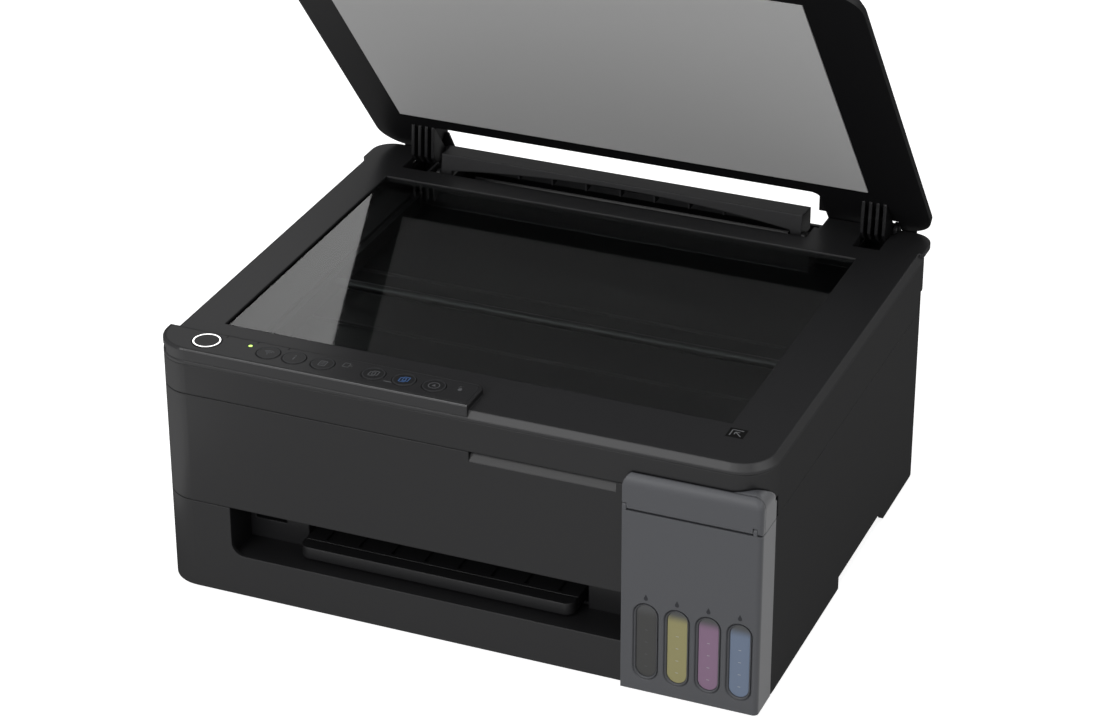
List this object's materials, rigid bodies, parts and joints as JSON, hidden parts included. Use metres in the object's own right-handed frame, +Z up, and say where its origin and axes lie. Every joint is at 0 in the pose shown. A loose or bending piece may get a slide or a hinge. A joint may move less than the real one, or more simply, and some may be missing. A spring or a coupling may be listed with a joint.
{
  "type": "inkjet printer",
  "caption": "Compact all-in-one inkjet printer with a flatbed scanner under an open lid, refillable ink tanks with sight windows, a button strip, front paper tray and rear paper feed.",
  "frame": {"origin": "centre of the footprint's bounding box, on the ground under the feet", "axes": "+X to the printer's right as seen by someone who faces its front, +Y to the rear, +Z up; the front faces -Y"},
  "size_m": [0.375, 0.347, 0.3808],
  "materials": {
    "black_plastic": "fine grained",
    "tank_grey": "satin",
    "clear_plastic": "clear",
    "rubber": "matt",
    "glass": "polished",
    "lid_liner": "satin",
    "mat": "matt",
    "keys": "satin",
    "steel": "bright",
    "works_plastic": "satin",
    "white_plastic": "satin",
    "lamps": "clear",
    "belt": "matt",
    "board": "satin",
    "felt": "matt",
    "zinc": "satin"
  },
  "bodies": {
    "base": {"base_pan": "black_plastic", "rubber_feet": "rubber", "main_case": "black_plastic", "front_panel": "black_plastic", "rear_cover": "black_plastic", "case_screws": "steel", "tank_housing": "tank_grey", "tank_shoulder": "tank_grey", "ink_tanks": "clear_plastic", "filler_stoppers": "rubber", "exit_guide": "black_plastic", "rear_hopper": "black_plastic", "side_frames": "zinc", "drive_motors": "steel", "platen": "works_plastic", "carriage_rail": "steel", "encoder_strip": "white_plastic", "carriage_belt": "belt", "capping_station": "works_plastic", "waste_ink_pad": "felt", "main_board": "board", "power_supply": "works_plastic", "power_inlet": "black_plastic", "usb_socket": "steel"},
    "tank_flap": {"tank_flap": "tank_grey"},
    "output_tray": {"output_tray": "black_plastic"},
    "tray_extension": {"tray_extension": "black_plastic"},
    "paper_support": {"paper_support": "black_plastic"},
    "edge_guide_left": {"edge_guide_left": "black_plastic"},
    "edge_guide_right": {"edge_guide_right": "black_plastic"},
    "feeder_guard": {"feeder_guard": "black_plastic"},
    "feed_roller": {"feed_roller": "steel"},
    "eject_roller": {"eject_roller": "works_plastic"},
    "idler_gear": {"idler_gear": "white_plastic"},
    "motor_pinion": {"motor_pinion": "white_plastic"},
    "pickup_roller": {"pickup_roller": "rubber"},
    "print_carriage": {"print_carriage": "works_plastic", "print_head": "works_plastic"},
    "drive_pulley": {"drive_pulley": "white_plastic"},
    "idler_pulley": {"idler_pulley": "white_plastic"},
    "scanner_unit": {"scanner_tray": "black_plastic", "scanner_bezel": "black_plastic", "platen_glass": "glass", "control_panel": "black_plastic", "status_lenses": "lamps", "scan_rod": "steel"},
    "scan_carriage": {"scan_carriage": "works_plastic", "image_sensor": "white_plastic"},
    "lid": {"lid_shell": "black_plastic", "lid_liner": "lid_liner", "document_mat": "mat", "lid_hinges": "black_plastic"},
    "power_button": {"power_button": "keys"},
    "network_button": {"network_button": "keys"},
    "info_button": {"info_button": "keys"},
    "sheet_button": {"sheet_button": "keys"},
    "mono_copy_button": {"mono_copy_button": "keys"},
    "colour_copy_button": {"colour_copy_button": "keys"},
    "stop_button": {"stop_button": "keys"}
  },
  "joints": [
    {"name": "scanner_lift", "type": "hinge", "parent": "base", "child": "scanner_unit", "pos_m": [0, 0.141, 0.147], "axis": [-1, 0, 0], "range_deg": [0, 30]},
    {"name": "lid_hinge", "type": "hinge", "parent": "scanner_unit", "child": "lid", "pos_m": [0, 0.145, 0.1555], "axis": [1, 0, 0], "range_deg": [-12, 50.7]},
    {"name": "scan_travel", "type": "slide", "parent": "scanner_unit", "child": "scan_carriage", "axis": [1, 0, 0], "range_m": [0, 0.285]},
    {"name": "tank_flap_hinge", "type": "hinge", "parent": "base", "child": "tank_flap", "pos_m": [0.1467, -0.1715, 0.12], "axis": [1, 0, 0], "range_deg": [0, 88]},
    {"name": "feeder_guard_hinge", "type": "hinge", "parent": "base", "child": "feeder_guard", "pos_m": [-0.0125, 0.121, 0.152], "axis": [-1, 0, 0], "range_deg": [-50, 0]},
    {"name": "paper_support_slide", "type": "slide", "parent": "base", "child": "paper_support", "axis": [0, 0.5, 0.866], "range_m": [0, 0.076]},
    {"name": "edge_guide_left_slide", "type": "slide", "parent": "base", "child": "edge_guide_left", "axis": [1, 0, 0], "range_m": [0, 0.055]},
    {"name": "edge_guide_right_slide", "type": "slide", "parent": "base", "child": "edge_guide_right", "axis": [1, 0, 0], "range_m": [-0.055, 0]},
    {"name": "output_tray_slide", "type": "slide", "parent": "base", "child": "output_tray", "axis": [0, -1, 0], "range_m": [0, 0.06]},
    {"name": "tray_extension_slide", "type": "slide", "parent": "output_tray", "child": "tray_extension", "axis": [0, -1, 0], "range_m": [0, 0.075]},
    {"name": "carriage_travel", "type": "slide", "parent": "base", "child": "print_carriage", "axis": [-1, 0, 0], "range_m": [0, 0.25]},
    {"name": "drive_pulley_spin", "type": "hinge", "parent": "base", "child": "drive_pulley", "pos_m": [-0.158, -0.001, 0.098], "axis": [0, 1, 0], "range_deg": [-10, 2600]},
    {"name": "idler_pulley_spin", "type": "hinge", "parent": "base", "child": "idler_pulley", "pos_m": [0.158, -0.001, 0.098], "axis": [0, 1, 0], "range_deg": [-10, 2600]},
    {"name": "feed_roller_spin", "type": "hinge", "parent": "base", "child": "feed_roller", "pos_m": [-0.025, -0.01, 0.055], "axis": [1, 0, 0], "continuous": true},
    {"name": "idler_gear_spin", "type": "hinge", "parent": "base", "child": "idler_gear", "pos_m": [-0.1535, -0.05709, 0.0457], "axis": [1, 0, 0], "continuous": true},
    {"name": "eject_roller_spin", "type": "hinge", "parent": "base", "child": "eject_roller", "pos_m": [-0.025, -0.1, 0.0485], "axis": [1, 0, 0], "continuous": true},
    {"name": "motor_pinion_spin", "type": "hinge", "parent": "base", "child": "motor_pinion", "pos_m": [-0.1535, 0.01725, 0.06492], "axis": [1, 0, 0], "continuous": true},
    {"name": "pickup_roller_spin", "type": "hinge", "parent": "base", "child": "pickup_roller", "pos_m": [-0.025, 0.09, 0.075], "axis": [1, 0, 0], "continuous": true},
    {"name": "power_button_press", "type": "slide", "parent": "scanner_unit", "child": "power_button", "axis": [0, 0, -1], "range_m": [0, 0.001], "stiffness_N_per_m": 400, "springref_m": -0.0005},
    {"name": "network_button_press", "type": "slide", "parent": "scanner_unit", "child": "network_button", "axis": [0, 0, -1], "range_m": [0, 0.001], "stiffness_N_per_m": 400, "springref_m": -0.0005},
    {"name": "info_button_press", "type": "slide", "parent": "scanner_unit", "child": "info_button", "axis": [0, 0, -1], "range_m": [0, 0.001], "stiffness_N_per_m": 400, "springref_m": -0.0005},
    {"name": "sheet_button_press", "type": "slide", "parent": "scanner_unit", "child": "sheet_button", "axis": [0, 0, -1], "range_m": [0, 0.001], "stiffness_N_per_m": 400, "springref_m": -0.0005},
    {"name": "mono_copy_button_press", "type": "slide", "parent": "scanner_unit", "child": "mono_copy_button", "axis": [0, 0, -1], "range_m": [0, 0.001], "stiffness_N_per_m": 400, "springref_m": -0.0005},
    {"name": "colour_copy_button_press", "type": "slide", "parent": "scanner_unit", "child": "colour_copy_button", "axis": [0, 0, -1], "range_m": [0, 0.001], "stiffness_N_per_m": 400, "springref_m": -0.0005},
    {"name": "stop_button_press", "type": "slide", "parent": "scanner_unit", "child": "stop_button", "axis": [0, 0, -1], "range_m": [0, 0.001], "stiffness_N_per_m": 400, "springref_m": -0.0005}
  ],
  "couplings": [
    {"joint": "drive_pulley_spin", "follows": "carriage_travel", "rad_per_m": 178.57},
    {"joint": "idler_pulley_spin", "follows": "carriage_travel", "rad_per_m": 178.57},
    {"joint": "edge_guide_right_slide", "follows": "edge_guide_left_slide", "ratio": -1},
    {"joint": "idler_gear_spin", "follows": "feed_roller_spin", "ratio": -0.71429},
    {"joint": "eject_roller_spin", "follows": "feed_roller_spin", "ratio": 1.3333},
    {"joint": "motor_pinion_spin", "follows": "feed_roller_spin", "ratio": -2.2222}
  ]
}
